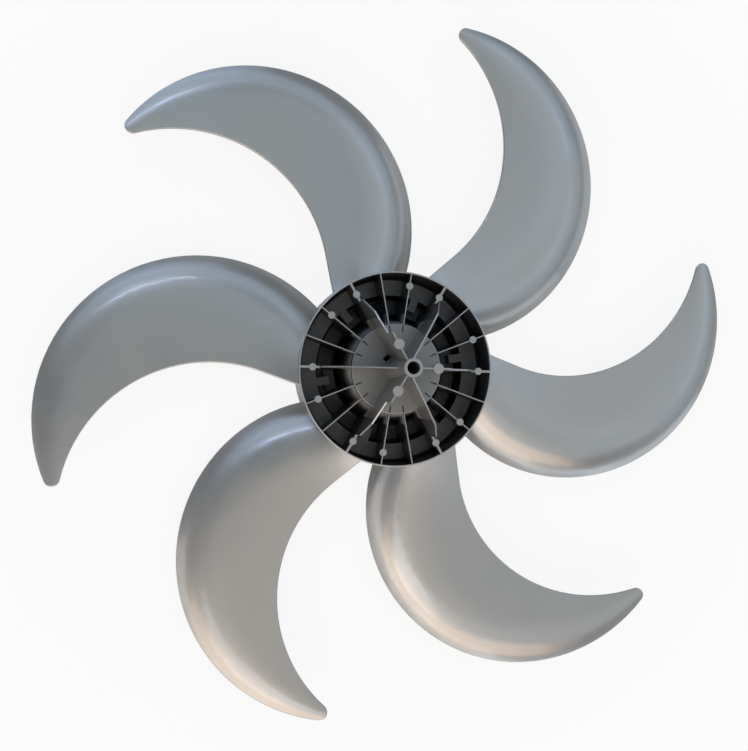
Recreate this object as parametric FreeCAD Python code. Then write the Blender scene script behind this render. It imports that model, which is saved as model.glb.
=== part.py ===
# Axial fan impeller, one injection moulding: a cup-shaped hub, open to the rear (+Z), and six sickle blades.
# Millimetres and degrees. The origin is where the shaft axis meets the plane of the hub's rear rim.
import FreeCAD
import Part
import math
import os
from FreeCAD import Vector

# Shaft bore and the tapered boss round it
bore_diameter = 8.0
boss_height = 55.0
boss_top_wall = 1.85
boss_foot_wall = 3.6

# Hub, a thin shell turned round the axis
hub_diameter = 129.0
wall = 1.0
rim_foot_wall = 2.2
web = 2.2
plateau_radius = 30.0
plateau_round = 1.0
drum_taper = 9.0
trough_depth = 38.0
trough_outer_radius = 48.0
trough_round = 5.0
ledge_depth = 25.0
ledge_inner_radius = 50.4
ledge_round = 3.0
skirt = 3.0
rim_round = 0.4

# Ribs: six that climb from the rim to the boss, and two low ones after each of them
main_rib_at_rim = 1.5
main_rib = 1.0
low_rib = 0.7
first_low_rib_angle = 22.2
second_low_rib_angle = 41.1
outer_step_radius = 50.5
outer_step_height = 11.5
outer_bend_radius = 41.0
outer_bend_height = 29.0
inner_bend_radius = 25.0
inner_bend_height = 34.0
boss_end_height = 39.0
high_rib_height = 50.0

# Ejector pads on the ribs
rim_pad_radius = 55.4
rim_pad_diameter = 4.7
boss_pad_radius = 16.7
boss_pad_diameter = 6.5
pad_stand = 0.3
pad_depth = 4.0

# Tabs in the trough, each a stem from the ledge and a lower cross pad
tab_angle = 11.1
stem_width = 5.5
stem_inner_radius = 42.0
cross_width = 13.6
cross_depth = 31.0
cross_inner_radius = 37.5
cross_outer_radius = 44.4

# Grooves and slot in the plateau
groove_length = 4.5
groove_width = 0.8
groove_depth = 1.2
slot_angle = 134.0
slot_radius = 9.6
slot_length = 3.2
slot_width = 4.2

# Blades: two arcs and a round tip in plan, on a screw surface that falls away towards the trailing edge
blade_count = 6
lead_arc_radius = 95.9
lead_arc_reach = 152.0
lead_arc_angle = 38.5
lead_straight_radius = 88.0
trail_arc_radius = 106.0
trail_arc_reach = 130.5
trail_arc_angle = 15.1
tip_radius = 5.2
blade_lead = 137.0
blade_drop = 9.0
blade_rake = 0.03
hub_camber = 0.143
middle_camber = 0.079
tip_camber = 0.069
hub_roll = 2.7
middle_roll = 6.2
tip_roll = 1.4
root_thickness = 3.2
tip_thickness = 2.0
blade_edge_round = 0.7
surface_rows = 9
surface_columns = 17
surface_start = 0.08
surface_margin = 3.0
tip_overrun = 5.0

axis = Vector(0, 0, 1)
origin = Vector(0, 0, 0)
hub_radius = hub_diameter / 2
rim_inner_radius = hub_radius - wall
rim_foot_radius = hub_radius - rim_foot_wall
bore_radius = bore_diameter / 2
drum_foot_radius = plateau_radius + trough_depth * math.tan(math.radians(drum_taper))
drum_wall = web / math.cos(math.radians(drum_taper))
front = -trough_depth - web
skirt_front = -ledge_depth - web - skirt
main_angles = [index * 360 / blade_count for index in range(blade_count)]
low_angles = [angle + offset for angle in main_angles for offset in (first_low_rib_angle, second_low_rib_angle)]


def polar(radius, angle, z=0.0):
    turn = math.radians(angle)
    return Vector(radius * math.cos(turn), radius * math.sin(turn), z)


def turned(shape, angle):
    copy = shape.copy()
    copy.rotate(origin, axis, angle)
    return copy


def revolved(points):
    wire = Part.makePolygon([Vector(r, 0, z) for r, z in points + points[:1]])
    return Part.Face(wire).revolve(origin, axis, 360)


def rounded(shape, rounds):
    for radius, z, size in rounds:
        edges = []
        for edge in shape.Edges:
            if not isinstance(edge.Curve, Part.Circle):
                continue
            if abs(edge.Curve.Radius - radius) < 0.01 and abs(edge.Curve.Center.z - z) < 0.01:
                edges.append(edge)
        shape = shape.makeFillet(size, edges)
    return shape


def hub_body():
    # Everything within the hub's outer surface, from the rim plane down to the front face
    body = revolved([
        (0, 0),
        (hub_radius, 0),
        (hub_radius, skirt_front),
        (rim_inner_radius, skirt_front),
        (rim_inner_radius, -ledge_depth - web),
        (ledge_inner_radius + web, -ledge_depth - web),
        (trough_outer_radius + web, front),
        (drum_foot_radius - drum_wall, front),
        (plateau_radius - drum_wall, -web),
        (0, -web),
    ])
    return rounded(body, [
        (hub_radius, 0, rim_round),
        (hub_radius, skirt_front, rim_round),
        (trough_outer_radius + web, front, trough_round),
    ])


def hub_cavity():
    cavity = revolved([
        (plateau_radius, 0),
        (drum_foot_radius, -trough_depth),
        (trough_outer_radius, -trough_depth),
        (ledge_inner_radius, -ledge_depth),
        (rim_foot_radius, -ledge_depth),
        (rim_inner_radius, 0),
    ])
    return rounded(cavity, [
        (drum_foot_radius, -trough_depth, trough_round),
        (rim_foot_radius, -ledge_depth, ledge_round),
    ])


def boss():
    foot_radius = bore_radius + boss_foot_wall
    top_radius = bore_radius + boss_top_wall
    return Part.makeCone(foot_radius, top_radius, boss_height + web, Vector(0, 0, -web))


def rib_plate(profile, thickness, angle):
    wire = Part.makePolygon([Vector(r, -thickness / 2, z) for r, z in profile + profile[:1]])
    return turned(Part.Face(wire).extrude(Vector(0, thickness, 0)), angle)


def main_rib_plate(angle, high):
    rim_end = hub_radius - wall / 2
    profile = [
        (0, front),
        (rim_end, front),
        (rim_end, 0),
        (outer_step_radius, 0),
        (outer_step_radius, outer_step_height),
        (outer_bend_radius, outer_bend_height),
        (inner_bend_radius, inner_bend_height),
    ]
    if high:
        profile += [(inner_bend_radius, high_rib_height), (0, high_rib_height)]
    else:
        profile += [(0, boss_end_height)]
    thick_end = [(outer_step_radius, front), (rim_end, front), (rim_end, 0), (outer_step_radius, 0)]
    return rib_plate(profile, main_rib, angle).fuse(rib_plate(thick_end, main_rib_at_rim, angle))


def low_rib_plate(angle):
    rim_end = hub_radius - wall / 2
    drum_end = plateau_radius / 2
    profile = [(drum_end, front), (rim_end, front), (rim_end, 0), (drum_end, 0)]
    return rib_plate(profile, low_rib, angle)


def box_on_radius(inner, outer, width, bottom, top, angle):
    box = Part.makeBox(outer - inner, width, top - bottom, Vector(inner, -width / 2, bottom))
    return turned(box, angle)


def tab(angle):
    stem = box_on_radius(stem_inner_radius, ledge_inner_radius + web, stem_width, front, -ledge_depth, angle)
    cross = box_on_radius(cross_inner_radius, cross_outer_radius, cross_width, front, -cross_depth, angle)
    return stem.fuse(cross)


def pad(radius, angle, diameter, top):
    foot = polar(radius, angle, top - pad_depth)
    return Part.makeCylinder(diameter / 2, pad_depth + pad_stand, foot)


def plateau_marks():
    groove_end = plateau_radius - plateau_round
    groove_start = groove_end - groove_length
    marks = [box_on_radius(groove_start, groove_end, groove_width, -groove_depth, web, angle) for angle in low_angles]
    slot_start = slot_radius - slot_length / 2
    slot_end = slot_radius + slot_length / 2
    marks.append(box_on_radius(slot_start, slot_end, slot_width, -2 * web, web, slot_angle))
    return marks


def hub():
    body = hub_body()
    shell = body.cut(hub_cavity())
    inserts = [low_rib_plate(angle) for angle in low_angles]
    pads = [pad(rim_pad_radius, angle + first_low_rib_angle, rim_pad_diameter, 0) for angle in main_angles]
    for index, angle in enumerate(main_angles):
        high = index % 2 == 0
        inserts.append(main_rib_plate(angle, high))
        inserts.append(tab(angle + tab_angle))
        pads.append(pad(rim_pad_radius, angle, rim_pad_diameter, 0))
        if high:
            pads.append(pad(boss_pad_radius, angle, boss_pad_diameter, high_rib_height))
    envelope = body.fuse(Part.makeCylinder(rim_inner_radius, boss_height))
    inserts = [insert.common(envelope) for insert in inserts]
    shell = rounded(shell, [(plateau_radius, 0, plateau_round)])
    solid = shell.fuse(inserts + pads + [boss()])
    bore = Part.makeCylinder(bore_radius, boss_height - 2 * front, Vector(0, 0, 2 * front))
    return solid.cut(plateau_marks() + [bore])


def heading(centre, point):
    return math.degrees(math.atan2(point.y - centre.y, point.x - centre.x))


def circles_meet(centre_a, radius_a, centre_b, radius_b):
    line = centre_b - centre_a
    along = (radius_a ** 2 - radius_b ** 2 + line.Length ** 2) / (2 * line.Length)
    aside = math.sqrt(radius_a ** 2 - along ** 2)
    unit = Vector(line).normalize()
    normal = axis.cross(unit)
    return [centre_a + unit * along + normal * aside, centre_a + unit * along - normal * aside]


lead_centre = polar(lead_arc_reach, lead_arc_angle)
trail_centre = polar(trail_arc_reach, trail_arc_angle)
tip_choices = circles_meet(lead_centre, lead_arc_radius + tip_radius, trail_centre, trail_arc_radius - tip_radius)
tip_centre = max(tip_choices, key=lambda point: point.Length)


def arc(centre, radius, start, end, inside=None):
    # The arc from start to end that passes nearest to the third point
    towards = (inside or (start + end) * 0.5) - centre
    middle = centre + towards.normalize() * radius
    return Part.Arc(start, middle, end).toShape()


def blade_plan():
    root_radius = hub_radius - wall / 2
    to_lead = (lead_centre - tip_centre).normalize()
    to_trail = (tip_centre - trail_centre).normalize()
    lead_tip = tip_centre + to_lead * tip_radius
    trail_tip = tip_centre + to_trail * tip_radius
    lead_start = min(circles_meet(origin, lead_straight_radius, lead_centre, lead_arc_radius), key=lambda p: p.y)
    trail_end = min(circles_meet(origin, root_radius, trail_centre, trail_arc_radius), key=lambda p: p.y)
    inward = axis.cross(lead_centre - lead_start).normalize()
    if inward.dot(lead_start) > 0:
        inward = inward * -1
    # Where the straight stretch of the leading edge runs into the hub wall
    nearest = lead_start.dot(inward)
    aside = math.sqrt(lead_start.Length ** 2 - nearest ** 2)
    lead_root = lead_start + inward * (-nearest - math.sqrt(root_radius ** 2 - aside ** 2))
    tip_front = tip_centre + to_lead + to_trail
    edges = [
        Part.makeLine(lead_root, lead_start),
        arc(lead_centre, lead_arc_radius, lead_start, lead_tip),
        arc(tip_centre, tip_radius, lead_tip, trail_tip, tip_front),
        arc(trail_centre, trail_arc_radius, trail_tip, trail_end, polar(trail_arc_reach, trail_arc_angle - 90)),
        arc(origin, root_radius, trail_end, lead_root),
    ]
    return Part.Face(Part.Wire(edges))


def camber_height(across, roll):
    # Rises evenly from the leading edge and rolls over to the trailing edge, more sharply as the roll grows
    crest = roll ** (-1 / (roll - 1))
    return (across - across * abs(across) ** (roll - 1)) / (crest - crest ** roll)


def outward_shares(outward):
    # How much the values at the hub, at the middle and at the tip count, so that they join in a smooth curve
    return 2 * (outward - 0.5) * (outward - 1), 4 * outward * (1 - outward), 2 * outward * (outward - 0.5)


def across_columns(chord_length):
    # Places across the blade, closer together towards the trailing edge
    start = -surface_margin / chord_length
    span = 1 - 2 * start
    turns = [math.pi / 2 * column / (surface_columns - 1) for column in range(surface_columns)]
    return [start + span * math.sin(turn) for turn in turns]


def blade_surface(lower):
    # Rows run from just inside the hub to past the tip, and each crosses the blade a little beyond both edges
    lead_end = heading(lead_centre, tip_centre) + tip_overrun
    trail_end = heading(trail_centre, tip_centre) + tip_overrun
    lead_begin = heading(lead_centre, origin) + 360
    trail_begin = heading(trail_centre, origin) + 360
    grid = []
    for row in range(surface_rows):
        outward = row / (surface_rows - 1)
        along = surface_start + (1 - surface_start) * outward
        lead_heading = lead_begin + (lead_end + 360 - lead_begin) * along
        trail_heading = trail_begin + (trail_end + 360 - trail_begin) * along
        lead_point = lead_centre + polar(lead_arc_radius, lead_heading)
        trail_point = trail_centre + polar(trail_arc_radius, trail_heading)
        chord = trail_point - lead_point
        thickness = root_thickness + (tip_thickness - root_thickness) * outward
        at_hub, at_middle, at_tip = outward_shares(outward)
        camber = hub_camber * at_hub + middle_camber * at_middle + tip_camber * at_tip
        roll = hub_roll ** at_hub * middle_roll ** at_middle * tip_roll ** at_tip
        points = []
        for across in across_columns(chord.Length):
            point = lead_point + chord * across
            bulge = camber * chord.Length * camber_height(across, roll)
            screw = blade_lead * heading(origin, point) / 360
            height = screw + bulge - blade_drop - blade_rake * point.Length
            points.append(Vector(point.x, point.y, height - thickness * lower))
        grid.append(points)
    surface = Part.BSplineSurface()
    surface.interpolate(grid)
    return surface.toShape()


def blade():
    depth = Vector(0, 0, 4 * front)
    prism = blade_plan()
    prism.translate(Vector(0, 0, 2 * front))
    prism = prism.extrude(depth * -1)
    above_lower = prism.common(blade_surface(0).extrude(depth))
    slab = above_lower.cut(blade_surface(1).extrude(depth))
    edges = []
    for edge in slab.Edges:
        start, end = edge.Vertexes[0].Point, edge.Vertexes[-1].Point
        flat_run = math.hypot(end.x - start.x, end.y - start.y)
        middle = edge.valueAt((edge.FirstParameter + edge.LastParameter) / 2)
        if flat_run > tip_radius / 2 and math.hypot(middle.x, middle.y) > hub_radius:
            edges.append(edge)
    return slab.makeFillet(blade_edge_round, edges)


def impeller():
    one = blade()
    blades = [turned(one, angle) for angle in main_angles]
    return hub().fuse(blades)


if __name__ == "__main__":
    os.makedirs("parts", exist_ok=True)
    shape = impeller()
    solid = shape.Solids[0]
    print("solids", len(shape.Solids), "valid", solid.isValid(), "volume", round(solid.Volume / 1000, 1), "cm3")
    print("box", solid.BoundBox)
    solid.exportStep("parts/impeller.step")
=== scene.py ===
# Axial fan impeller lying front side down, seen from its rear: silver lacquer, and black in the hub's depths
# and on its inner side faces as painted shade
import math
import bpy
from mathutils import Matrix, Vector


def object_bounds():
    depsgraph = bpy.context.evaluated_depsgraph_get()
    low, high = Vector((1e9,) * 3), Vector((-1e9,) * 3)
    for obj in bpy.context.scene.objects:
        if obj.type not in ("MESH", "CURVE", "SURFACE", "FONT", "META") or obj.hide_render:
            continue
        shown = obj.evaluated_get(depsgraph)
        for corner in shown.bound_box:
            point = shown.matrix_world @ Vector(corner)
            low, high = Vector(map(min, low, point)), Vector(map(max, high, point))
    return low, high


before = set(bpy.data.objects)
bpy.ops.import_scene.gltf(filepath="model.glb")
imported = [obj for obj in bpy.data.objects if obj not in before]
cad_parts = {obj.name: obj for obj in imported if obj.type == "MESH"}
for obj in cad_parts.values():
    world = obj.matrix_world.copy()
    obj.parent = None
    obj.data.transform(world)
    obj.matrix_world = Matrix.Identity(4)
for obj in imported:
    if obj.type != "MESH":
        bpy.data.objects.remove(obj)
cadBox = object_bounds()
scene = bpy.context.scene
print("frame loaded, box", cadBox)

mm = 0.001
pureWhite = (1, 1, 1, 1)


def linearColour(hexText):
    # The standard sRGB curve, from a hex text to the linear values that the shader nodes take
    knee, slope, offset, power = 0.04045, 12.92, 0.055, 2.4
    parts = [int(hexText[start:start + 2], 16) / 255 for start in (1, 3, 5)]
    linear = [part / slope if part <= knee else ((part + offset) / (1 + offset)) ** power for part in parts]
    return (*linear, 1)


def addNode(tree, kind, inputs=(), output=0, **settings):
    # inputs holds values or other nodes' outputs, in the order of the sockets or with their names as keys
    node = tree.nodes.new("ShaderNode" + kind)
    for name, value in settings.items():
        setattr(node, name, value)
    for key, value in inputs.items() if isinstance(inputs, dict) else enumerate(inputs):
        if isinstance(value, bpy.types.NodeSocket):
            tree.links.new(value, node.inputs[key])
        else:
            node.inputs[key].default_value = value
    return node.outputs[output] if node.outputs else None


def newMaterial(name):
    material = bpy.data.materials.new(name)
    material.use_nodes = True
    material.node_tree.nodes.clear()
    return material, material.node_tree


# Where the silver shows and where painted shade turns the hub black, with heights from the rim plane and
# radii from the shaft's axis. Painted shade deep in the hub keeps trough, inner wall and rib sides black
hubPaintedShade = {
    "hubRadius": 63.5 * mm,       # beyond the hub, and on its front face, everything is silver
    "frontFace": -38.6 * mm,
    "fullShadeDepth": -8 * mm,
    "shadeFreeDepth": -0.4 * mm,
    "upward": (0.1, 0.4),         # how far a face has to turn up to be silver; side faces get painted shade
    "sideLight": 0.12,
    "dryBelow": -2 * mm,
    "ledgeHeight": -25 * mm,
    "ledgeBand": 0.3 * mm,
    "ledgeLight": 0.45,
    "ledgeLightLeast": 0.7,
    "drumRadius": 37 * mm,
    "drumFade": -23 * mm,
    "drumTopLight": 1.0,
    "coreLight": 0.6,
    "discRadius": 30.5 * mm,      # painted shade of the tall ribs on the disc
    "discBand": 2 * mm,
    "discLight": 0.7,
    "grooveBottom": -0.4 * mm,
    "driftSize": 4 * mm,
    "driftDetail": 4.0,
    "driftMiddle": 0.5,
    "driftRange": 0.3,
    "driftDepth": 5 * mm,
}


def silverAndPaintedShade(tree, coords, values):
    # How much of the surface is silver rather than painted shade, where the flake shines, and what lies
    # outside the hub
    flat = addNode(tree, "VectorMath", (coords, (1, 1, 0)), operation="MULTIPLY")
    radius = addNode(tree, "VectorMath", (flat,), "Value", operation="LENGTH")
    height = addNode(tree, "SeparateXYZ", (coords,), "Z")
    facing = addNode(tree, "SeparateXYZ", (addNode(tree, "NewGeometry", output="Normal"),), "Z")

    # The lower edge of the painted shade drifts up and down in small clouds
    cloudLook = {"Vector": coords, "Scale": 1 / values["driftSize"], "Detail": values["driftDetail"]}
    cloud = addNode(tree, "TexNoise", cloudLook, "Fac")
    drift = addNode(tree, "Math", (cloud, values["driftMiddle"]), operation="SUBTRACT")
    level = addNode(tree, "Math", (drift, values["driftDepth"], height), operation="MULTIPLY_ADD")
    above = addNode(tree, "Math", (height, values["dryBelow"]), operation="GREATER_THAN")

    # The flat disc round the boss is darkened by painted shade of the tall ribs, and the grooves in it are
    # painted black as shade
    nearRim = addNode(tree, "Math", (height, 0.0, values["discBand"]), operation="COMPARE")
    withinDisc = addNode(tree, "Math", (radius, values["discRadius"]), operation="LESS_THAN")
    onDisc = addNode(tree, "Math", (nearRim, withinDisc), operation="MULTIPLY")
    shaded = addNode(tree, "Math", (onDisc, values["discLight"] - 1, 1.0), operation="MULTIPLY_ADD")
    belowDisc = addNode(tree, "Math", (height, values["grooveBottom"]), operation="LESS_THAN")
    inGroove = addNode(tree, "Math", (onDisc, belowDisc), operation="MULTIPLY")
    clear = addNode(tree, "Math", (1.0, inGroove), operation="SUBTRACT")

    # Silver on what faces up near the rim plane, painted shade deeper down and on side faces
    depthRange = (level, values["fullShadeDepth"], values["shadeFreeDepth"])
    depth = addNode(tree, "MapRange", depthRange, interpolation_type="SMOOTHSTEP")
    upwardRange = (facing, *values["upward"], values["sideLight"], 1.0)
    upward = addNode(tree, "MapRange", upwardRange, interpolation_type="SMOOTHSTEP")
    litUpward = addNode(tree, "Math", (depth, upward), operation="MULTIPLY")
    unshadedTops = addNode(tree, "Math", (litUpward, shaded), operation="MULTIPLY")

    # Uneven painted light on the ledge
    onLedge = addNode(tree, "Math", (height, values["ledgeHeight"], values["ledgeBand"]), operation="COMPARE")
    dimmestLedgeLight = values["ledgeLightLeast"] * values["ledgeLight"]
    dustRange = (drift, -values["driftRange"], values["driftRange"], dimmestLedgeLight, values["ledgeLight"])
    unevenLedgeLight = addNode(tree, "MapRange", dustRange, interpolation_type="SMOOTHSTEP")
    ledgePaintedLight = addNode(tree, "Math", (onLedge, unevenLedgeLight), operation="MULTIPLY")

    # Painted shade that deepens down the drum, and an even lighter grey on all that stands above it
    inCore = addNode(tree, "Math", (radius, values["drumRadius"]), operation="LESS_THAN")
    drumRange = (level, values["drumFade"], values["dryBelow"], 0.0, values["drumTopLight"])
    drumLightFade = addNode(tree, "MapRange", drumRange, interpolation_type="SMOOTHSTEP")
    rise = addNode(tree, "Math", (values["coreLight"], drumLightFade), operation="SUBTRACT")
    coreLight = addNode(tree, "Math", (above, rise, drumLightFade), operation="MULTIPLY_ADD")
    core = addNode(tree, "Math", (coreLight, inCore), operation="MULTIPLY")

    brightest = addNode(tree, "Math", (unshadedTops, ledgePaintedLight), operation="MAXIMUM")
    brightest = addNode(tree, "Math", (brightest, core), operation="MAXIMUM")
    inside = addNode(tree, "Math", (brightest, clear), operation="MULTIPLY")
    beyondHub = addNode(tree, "Math", (radius, values["hubRadius"]), operation="GREATER_THAN")
    onFront = addNode(tree, "Math", (height, values["frontFace"]), operation="LESS_THAN")
    outside = addNode(tree, "Math", (beyondHub, onFront), operation="MAXIMUM")
    silverNotShade = addNode(tree, "Math", (inside, outside), operation="MAXIMUM")
    # Deep in the hub the painted light and shade stay dull, without the flake's shine
    wet = addNode(tree, "Math", (above, outside), operation="MAXIMUM")
    return silverNotShade, wet, outside


# Silver lacquer, with black as painted shade deep in the hub: aluminium flake gives the blades a broad soft
# gloss with a thin clear streak on top, and the colour drifts a little from cool to warm over them
lacquer = {
    "silver": "#A9AEB2",
    "silverWarm": "#ACABA6",
    # colour of the painted shade inside the hub
    "black": "#25272E",
    "metallic": 0.9,
    "ior": 1.5,
    "roughness": (0.28, 0.38),    # from the cool patches to the warm ones
    "coat": 0.8,
    "coatIor": 1.6,
    "coatRoughness": 0.12,
    "mottleSize": 45 * mm,
    "mottleDetail": 3.0,
    "mottleRange": (0.2, 0.8),
    "grainSize": 1.6 * mm,        # real spray grain is about 0.2 mm, too fine to show here
    "grainDetail": 2.0,
    "grainHeight": 0.012 * mm,
}


def makeLacquer(values):
    material, tree = newMaterial("silverLacquerPaintedShade")
    coords = addNode(tree, "TexCoord", output="Object")
    silverNotShade, wet, outside = silverAndPaintedShade(tree, coords, hubPaintedShade)
    flakeShare = addNode(tree, "Math", (silverNotShade, wet), operation="MULTIPLY")
    flake = addNode(tree, "Math", (flakeShare, values["metallic"]), operation="MULTIPLY")
    mottleLook = {"Vector": coords, "Scale": 1 / values["mottleSize"], "Detail": values["mottleDetail"]}
    mottle = addNode(tree, "TexNoise", mottleLook, "Fac")
    # A Mix node's colours are its sockets 6 and 7, and its mixed colour is output 2
    silverMix = {0: mottle, 6: linearColour(values["silver"]), 7: linearColour(values["silverWarm"])}
    silver = addNode(tree, "Mix", silverMix, 2, data_type="RGBA")
    # Black where the painted shade lies, silver elsewhere
    colourMix = {0: silverNotShade, 6: linearColour(values["black"]), 7: silver}
    colour = addNode(tree, "Mix", colourMix, 2, data_type="RGBA")
    glossRange = (mottle, *values["mottleRange"], *values["roughness"])
    gloss = addNode(tree, "MapRange", glossRange, interpolation_type="SMOOTHSTEP")
    grainLook = {"Vector": coords, "Scale": 1 / values["grainSize"], "Detail": values["grainDetail"]}
    grain = addNode(tree, "TexNoise", grainLook, "Fac")
    shader = addNode(tree, "BsdfPrincipled", {
        "Base Color": colour,
        "Metallic": flake,
        "Roughness": gloss,
        "Normal": addNode(tree, "Bump", {"Height": grain, "Distance": values["grainHeight"]}),
        "IOR": values["ior"],
        "Coat Weight": addNode(tree, "Math", (outside, values["coat"]), operation="MULTIPLY"),
        "Coat Roughness": values["coatRoughness"],
        "Coat IOR": values["coatIor"],
    })
    addNode(tree, "OutputMaterial", (shader,))
    return material


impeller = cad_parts["impeller"]
for slot in impeller.material_slots:
    slot.material = makeLacquer(lacquer)
print("lacquer on", impeller.name, len(impeller.data.polygons), "faces")

# Stage: matt white paper under the hub's front face, which the camera sees nearly white with a faint shadow
paper = {
    "size": 8.0,
    "colour": "#E9E9E8",
    "shadowShare": 0.12,
    "mirrorShare": 0.2,           # the lacquer mirrors a room much darker than the paper
    "shadowReach": (0.25, 0.6),   # from here outward the shadow share falls to nothing
    "hubShade": (0.045, 0.06),    # within the hub the floor isn't lit: bore and slot look through to it
}


def makeFloor(values):
    half = values["size"] / 2
    level = cadBox[0].z
    corners = [(-half, -half, level), (half, -half, level), (half, half, level), (-half, half, level)]
    mesh = bpy.data.meshes.new("studioFloor")
    mesh.from_pydata(corners, [], [(0, 1, 2, 3)])
    floor = bpy.data.objects.new("studioFloor", mesh)
    scene.collection.objects.link(floor)
    material, tree = newMaterial("whitePaperSweep")
    ray = addNode(tree, "LightPath").node.outputs
    mirrored = addNode(tree, "Math", (ray["Is Glossy Ray"], ray["Is Transmission Ray"]), operation="MAXIMUM")
    seenBy = (mirrored, values["mirrorShare"], ray["Is Camera Ray"])
    seen = addNode(tree, "Math", seenBy, operation="MULTIPLY_ADD")
    coords = addNode(tree, "TexCoord", output="Object")
    flat = addNode(tree, "VectorMath", (coords, (1, 1, 0)), operation="MULTIPLY")
    radius = addNode(tree, "VectorMath", (flat,), "Value", operation="LENGTH")
    lit = addNode(tree, "MapRange", (radius, *values["hubShade"]))
    plain = addNode(tree, "MapRange", (radius, *values["shadowReach"], 1 - values["shadowShare"], 1.0))
    whiteShare = addNode(tree, "Math", (seen, plain), operation="MULTIPLY")
    whiteShare = addNode(tree, "Math", (whiteShare, lit), operation="MULTIPLY")
    matt = addNode(tree, "BsdfDiffuse", (linearColour(values["colour"]),))
    white = addNode(tree, "Emission", (pureWhite, 1.0))
    mixed = addNode(tree, "MixShader", (whiteShare, matt, white))
    addNode(tree, "OutputMaterial", (mixed,))
    mesh.materials.append(material)


makeFloor(paper)
print("paper floor laid at", cadBox[0].z)

# World: white behind the object, and a plain dim light on it
worldLook = {
    "light": "#F6FAFF",
    "strength": 0.28,
}


def makeWorld(values):
    world = bpy.data.worlds.new("studio")
    scene.world = world
    world.use_nodes = True
    tree = world.node_tree
    tree.nodes.clear()
    seen = addNode(tree, "LightPath", output="Is Camera Ray")
    ambient = addNode(tree, "Background", (linearColour(values["light"]), values["strength"]))
    backdrop = addNode(tree, "Background", (pureWhite, 1.0))
    mixed = addNode(tree, "MixShader", (seen, ambient, backdrop))
    addNode(tree, "OutputWorld", (mixed,))


makeWorld(worldLook)
print("world set, white for the camera")

# Soft panels in rows 2 m off, each row one light part of the room: warm on the left and below, a cool window
# above with one bright slit in it, and pale walls on the right
panelDistance = 2.0
panelSide = 0.8
lamps = {
    "warmWallLeft": {"azimuths": (192, 216), "elevation": 24, "watts": 1.9, "colour": "#FFF4ED"},
    "warmWall": {"azimuths": (216, 240, 264), "elevation": 24, "watts": 2.5, "colour": "#FFF1E8"},
    "warmUpperWall": {"azimuths": (222, 252, 282), "elevation": 40, "watts": 2.85, "colour": "#FFDEBD"},
    "warmCeiling": {"azimuths": (240,), "elevation": 56, "watts": 3.4, "colour": "#FFF4EF"},
    "warmOverhead": {"azimuths": (270,), "elevation": 74, "watts": 1.0, "colour": "#FFE6C6"},
    "plainOverhead": {"azimuths": (0,), "elevation": 78, "watts": 0.45, "colour": "#FFFFFF"},
    "windowLow": {"azimuths": (96, 120), "elevation": 24, "watts": 1.3, "colour": "#C2D8FF"},
    "windowMiddle": {"azimuths": (42, 72, 102, 132), "elevation": 40, "watts": 1.1, "colour": "#CBE4FF"},
    "windowSlit": {
        "azimuths": (113,), "elevation": 54, "watts": 1.8, "colour": "#CFDFFF", "size": (0.75, 0.04),
    },
    "coolOverhead": {"azimuths": (90,), "elevation": 74, "watts": 0.75, "colour": "#DEF9FF"},
    "wallRight": {
        "azimuths": (288, 324), "elevation": 8, "watts": 3.4, "colour": "#EEF6FF", "size": (1.3, 0.8),
    },
    "wallFarRight": {
        "azimuths": (0, 28), "elevation": 8, "watts": 1.5, "colour": "#EEF6FF", "size": (1.0, 0.8),
    },
    "upperWallRight": {"azimuths": (342, 12), "elevation": 40, "watts": 1.0, "colour": "#D7ECFF"},
    "ceilingRight": {"azimuths": (280, 320, 0, 40), "elevation": 56, "watts": 0.9, "colour": "#EFF7FF"},
}


def addLamps(name, values):
    light = bpy.data.lights.new(name, "AREA")
    light.shape = "RECTANGLE"
    light.size, light.size_y = values.get("size", (panelSide, panelSide))
    light.energy = values["watts"]
    light.color = linearColour(values["colour"])[:3]
    up = math.radians(values["elevation"])
    for azimuth in values["azimuths"]:
        around = math.radians(azimuth)
        direction = Vector((math.cos(around) * math.cos(up), math.sin(around) * math.cos(up), math.sin(up)))
        lamp = bpy.data.objects.new(name, light)
        lamp.location = direction * panelDistance
        lamp.rotation_euler = direction.to_track_quat("Z", "Y").to_euler()
        scene.collection.objects.link(lamp)


for lampName, lampValues in lamps.items():
    addLamps(lampName, lampValues)
print("lamps set in", len(lamps), "rows")

# Camera at the photograph's place: metres in the part's frame, focal length in pixels of the 748 wide picture
photoCamera = {
    "place": (-0.1384, -0.0136, 0.7101),
    "aim": (-0.01488, -0.00463, 0.0),
    "up": (-0.0249, 0.9997, 0.0),
    "focalPixels": 1100.7,
    "widthPixels": 748,
    "sensor": 36.0,
}


def makeCamera(values):
    data = bpy.data.cameras.new("photoCamera")
    data.sensor_fit = "HORIZONTAL"
    data.sensor_width = values["sensor"]
    data.lens = values["focalPixels"] / values["widthPixels"] * values["sensor"]
    camera = bpy.data.objects.new("photoCamera", data)
    place = Vector(values["place"])
    back = (place - Vector(values["aim"])).normalized()
    right = Vector(values["up"]).cross(back).normalized()
    up = back.cross(right)
    turn = Matrix((right, up, back)).transposed()
    camera.matrix_world = Matrix.Translation(place) @ turn.to_4x4()
    scene.collection.objects.link(camera)
    scene.camera = camera


makeCamera(photoCamera)
scene.view_settings.view_transform = "Standard"
print("camera at", photoCamera["place"])
